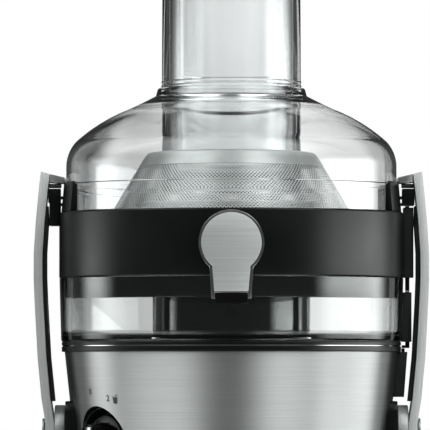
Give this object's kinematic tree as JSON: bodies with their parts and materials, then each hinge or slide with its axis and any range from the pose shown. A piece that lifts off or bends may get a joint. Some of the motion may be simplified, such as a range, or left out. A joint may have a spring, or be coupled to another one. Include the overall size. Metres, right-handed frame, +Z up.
{
  "type": "centrifugal juicer",
  "caption": "Centrifugal juicer with a brushed steel motor base, clear pulp container and lid, black juice collector with a turning spout, side locking arms and a tall feed tube with pusher.",
  "frame": {"origin": "point on the drive axis at table level, under the feet", "axes": "+Z up along the drive axis, -Y towards the spout at the front, +X to the user's right, where the interlock is"},
  "size_m": [0.254, 0.2436, 0.431],
  "materials": {
    "brushed_steel": "horizontal brushing",
    "bright_chrome": "polished",
    "satin_black": "fine satin texture",
    "gloss_black": "gloss",
    "moulded_black": "fine spark texture",
    "clear_copolyester": "clear",
    "rubber": "matt",
    "zinc_screws": "bright",
    "electrical_steel": "varnished laminations",
    "copper": "enamelled copper",
    "cast_aluminium": "die cast",
    "carbon": "pressed carbon",
    "circuit_board": "solder mask",
    "sieve_moulding": "satin"
  },
  "bodies": {
    "root": {"arm_pivot_pins": "brushed_steel", "base_screws": "zinc_screws", "base_tray": "moulded_black", "bearing_outer_rings": "zinc_screws", "brush_holders": "moulded_black", "carbon_brushes": "carbon", "collector_spine": "satin_black", "container_spine": "satin_black", "control_board": "circuit_board", "cord_gland": "moulded_black", "deck_ring": "satin_black", "feed_tube": "clear_copolyester", "field_coils": "copper", "housing_shell": "moulded_black", "housing_spine": "satin_black", "interlock_switch": "moulded_black", "juice_collector": "satin_black", "knob_bezel": "gloss_black", "lid_dome": "clear_copolyester", "lid_lugs": "satin_black", "lid_seal": "rubber", "lower_motor_bracket": "cast_aluminium", "pulp_container": "clear_copolyester", "rotary_switch": "moulded_black", "rubber_feet": "rubber", "shaft_seal": "rubber", "side_plates": "satin_black", "stator": "electrical_steel", "steel_wrap": "brushed_steel", "upper_motor_bracket": "cast_aluminium", "vibration_mounts": "rubber"},
    "rotor": {"motor_shaft": "zinc_screws", "armature_core": "electrical_steel", "armature_windings": "copper", "commutator": "copper", "cooling_fan": "moulded_black", "bearing_inner_rings": "zinc_screws", "drive_coupling": "moulded_black", "grater_disc": "brushed_steel", "sieve_base": "sieve_moulding", "sieve_mesh": "brushed_steel", "sieve_rim": "brushed_steel"},
    "left_locking_arm": {"left_arm": "brushed_steel", "left_arm_liner": "satin_black", "left_hook_plate": "brushed_steel", "left_hook_pin": "bright_chrome", "left_arm_hub": "brushed_steel"},
    "right_locking_arm": {"right_arm": "brushed_steel", "right_arm_liner": "satin_black", "right_hook_plate": "brushed_steel", "right_hook_pin": "bright_chrome", "right_arm_hub": "brushed_steel"},
    "control_knob": {"knob_body": "gloss_black", "knob_insert": "bright_chrome"},
    "spout": {"spout_body": "bright_chrome", "spout_plate": "brushed_steel", "spout_nozzle": "gloss_black"},
    "pusher": {"pusher_body": "clear_copolyester", "pusher_cap": "satin_black"},
    "interlock_pushers": {"interlock_rods": "moulded_black"}
  },
  "joints": [
    {"name": "left_arm_swing", "type": "hinge", "parent": "root", "child": "left_locking_arm", "pos_m": [-0.115, 0, 0.113], "axis": [-1, 0, 0], "range_deg": [0, 95]},
    {"name": "right_arm_swing", "type": "hinge", "parent": "root", "child": "right_locking_arm", "pos_m": [0.115, 0, 0.113], "axis": [-1, 0, 0], "range_deg": [0, 95]},
    {"name": "speed_knob_turn", "type": "hinge", "parent": "root", "child": "control_knob", "pos_m": [-0.08315, -0.05609, 0.101], "axis": [-0.829, -0.5592, 0], "range_deg": [-35, 35]},
    {"name": "spout_turn", "type": "hinge", "parent": "root", "child": "spout", "pos_m": [0, -0.1164, 0.231], "axis": [0, -1, 0], "range_deg": [0, 120]},
    {"name": "pusher_lift", "type": "slide", "parent": "root", "child": "pusher", "axis": [0, 0, 1], "range_m": [0, 0.16]},
    {"name": "rotor_spin", "type": "hinge", "parent": "root", "child": "rotor", "pos_m": [0, 0, 0.1], "axis": [0, 0, 1], "continuous": true},
    {"name": "interlock_press", "type": "slide", "parent": "root", "child": "interlock_pushers", "axis": [0, 0, 1], "range_m": [-0.0012, 0], "stiffness_N_per_m": 200, "springref_m": 0.001}
  ]
}
